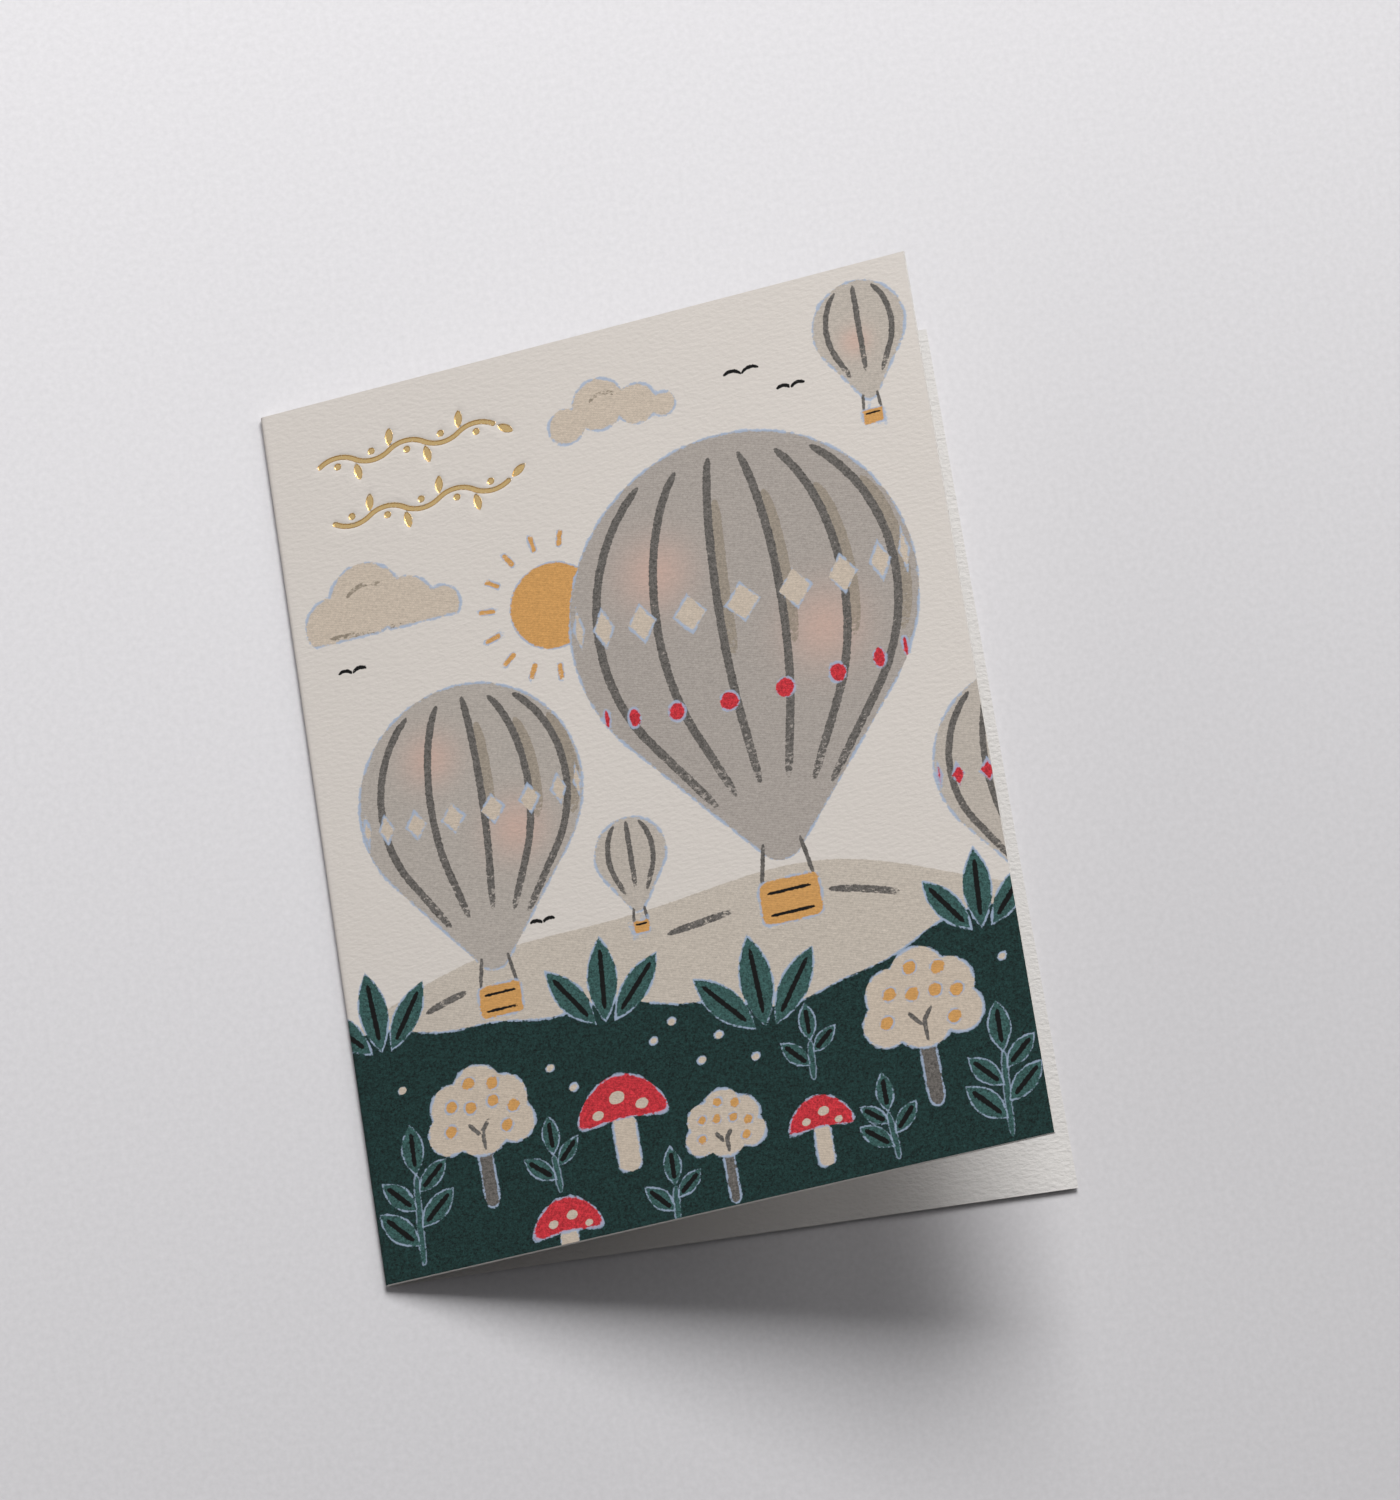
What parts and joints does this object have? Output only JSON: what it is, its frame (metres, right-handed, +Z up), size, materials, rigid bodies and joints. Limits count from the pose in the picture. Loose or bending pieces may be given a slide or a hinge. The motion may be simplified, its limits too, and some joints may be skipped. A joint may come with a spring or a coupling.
{
  "type": "greeting card",
  "caption": "Folded greeting card of thick soft paper, sprung slightly open, with gold sprigs pressed into the top corner of its printed front.",
  "frame": {"origin": "on the table, under the middle of the closed outline of the card as it lies", "axes": "+X from the fold to the loose edges, +Y along the fold to the top of the card, +Z up from the table through both leaves"},
  "size_m": [0.1144, 0.1524, 0.0385],
  "materials": {
    "printed_paper": "matte",
    "gold_foil": "satin"
  },
  "bodies": {
    "root": {"card": "printed_paper"}
  },
  "joints": []
}
